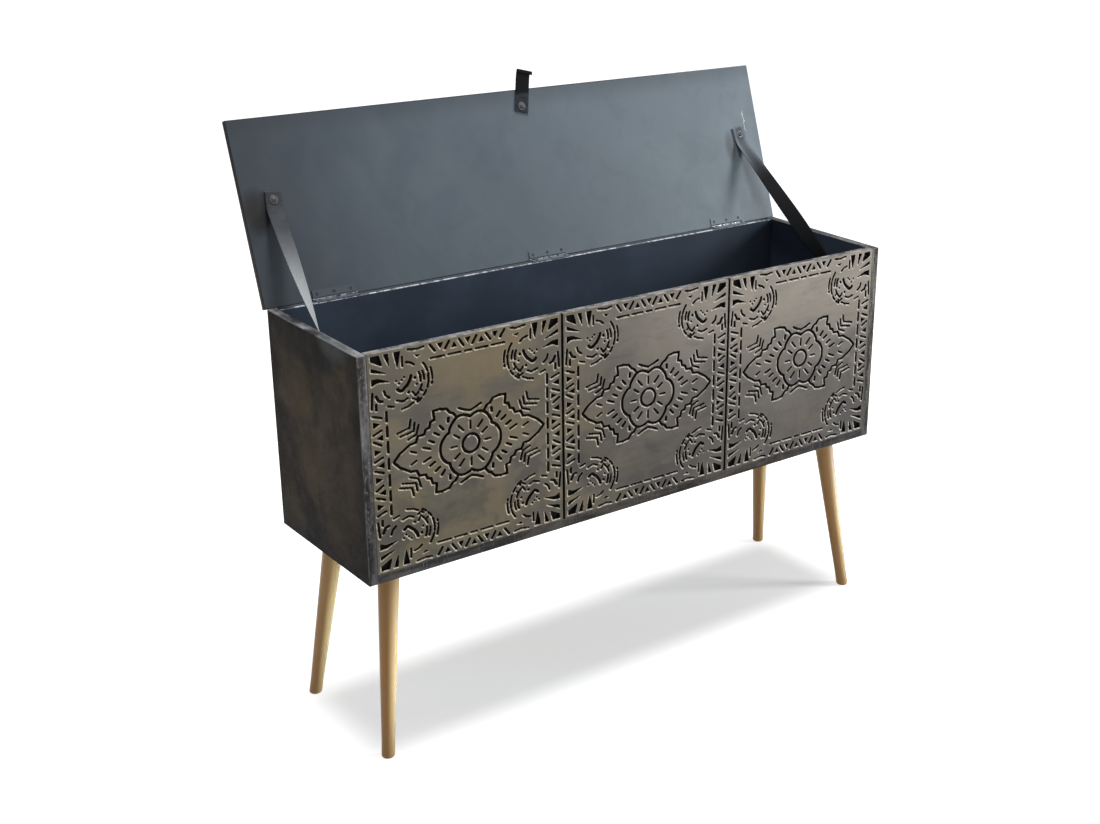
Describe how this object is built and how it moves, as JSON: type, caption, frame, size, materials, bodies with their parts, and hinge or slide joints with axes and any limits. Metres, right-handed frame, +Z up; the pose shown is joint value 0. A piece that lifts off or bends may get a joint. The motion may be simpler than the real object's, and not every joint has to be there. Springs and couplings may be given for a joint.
{
  "type": "storage chest",
  "caption": "Long storage chest on four splayed turned legs, with pierced and carved front panels and a rear-hinged lid stopped by two straps.",
  "frame": {"origin": "on the floor, under the middle of the box that bounds the chest with its lid open", "axes": "+X to the right along the width, seen from the front; +Y from the carved front to the back; +Z up"},
  "size_m": [1.107, 0.4092, 1.0342],
  "materials": {
    "side_paint": "dark bronze-black paint on board, satin",
    "inner_paint": "dark blue-grey paint, matt",
    "carved_patina": "antique bronze patina on carved board, satin",
    "lid_paint": "slate blue-grey paint, satin",
    "hinge_steel": "steel, painted over with the lid and worn bright at the knuckles",
    "pin_steel": "bright steel",
    "strap_webbing": "dark grey woven webbing",
    "tab_leather": "black leather, matt",
    "screw_steel": "dull zinc",
    "leg_beech": "clear-varnished beech",
    "plate_steel": "black painted steel",
    "dowel_wood": "bare beech"
  },
  "bodies": {
    "chest": {"left_side": "side_paint", "right_side": "side_paint", "bottom_board": "side_paint", "back_board": "inner_paint", "front_board": "inner_paint", "carved_panel_left": "carved_patina", "carved_panel_centre": "carved_patina", "carved_panel_right": "carved_patina", "dowel_left_bottom_front": "dowel_wood", "dowel_left_bottom_rear": "dowel_wood", "dowel_left_back_low": "dowel_wood", "dowel_left_back_high": "dowel_wood", "dowel_right_bottom_front": "dowel_wood", "dowel_right_bottom_rear": "dowel_wood", "dowel_right_back_low": "dowel_wood", "dowel_right_back_high": "dowel_wood", "leg_front_left": "leg_beech", "leg_plate_front_left": "plate_steel", "leg_bolt_front_left": "screw_steel", "leg_front_right": "leg_beech", "leg_plate_front_right": "plate_steel", "leg_bolt_front_right": "screw_steel", "leg_rear_left": "leg_beech", "leg_plate_rear_left": "plate_steel", "leg_bolt_rear_left": "screw_steel", "leg_rear_right": "leg_beech", "leg_plate_rear_right": "plate_steel", "leg_bolt_rear_right": "screw_steel", "hinge_left_rim_leaf": "hinge_steel", "hinge_left_pin": "pin_steel", "hinge_centre_rim_leaf": "hinge_steel", "hinge_centre_pin": "pin_steel", "hinge_right_rim_leaf": "hinge_steel", "hinge_right_pin": "pin_steel", "strap_left": "strap_webbing", "strap_left_wall_screw": "screw_steel", "strap_left_wall_washer": "screw_steel", "strap_right": "strap_webbing", "strap_right_wall_screw": "screw_steel", "strap_right_wall_washer": "screw_steel"},
    "lid": {"hinge_left_lid_leaf": "hinge_steel", "hinge_centre_lid_leaf": "hinge_steel", "hinge_right_lid_leaf": "hinge_steel", "lid_board": "lid_paint", "strap_left_lid_screw": "screw_steel", "strap_left_lid_washer": "screw_steel", "strap_right_lid_screw": "screw_steel", "strap_right_lid_washer": "screw_steel", "pull_tab": "tab_leather", "pull_tab_screw": "screw_steel", "pull_tab_washer": "screw_steel"}
  },
  "joints": [
    {"name": "lid_hinge", "type": "hinge", "parent": "chest", "child": "lid", "pos_m": [0, 0.09503, 0.7102], "axis": [1, 0, 0], "range_deg": [0, 108.5], "deforming": ["strap_left", "strap_right"]}
  ]
}
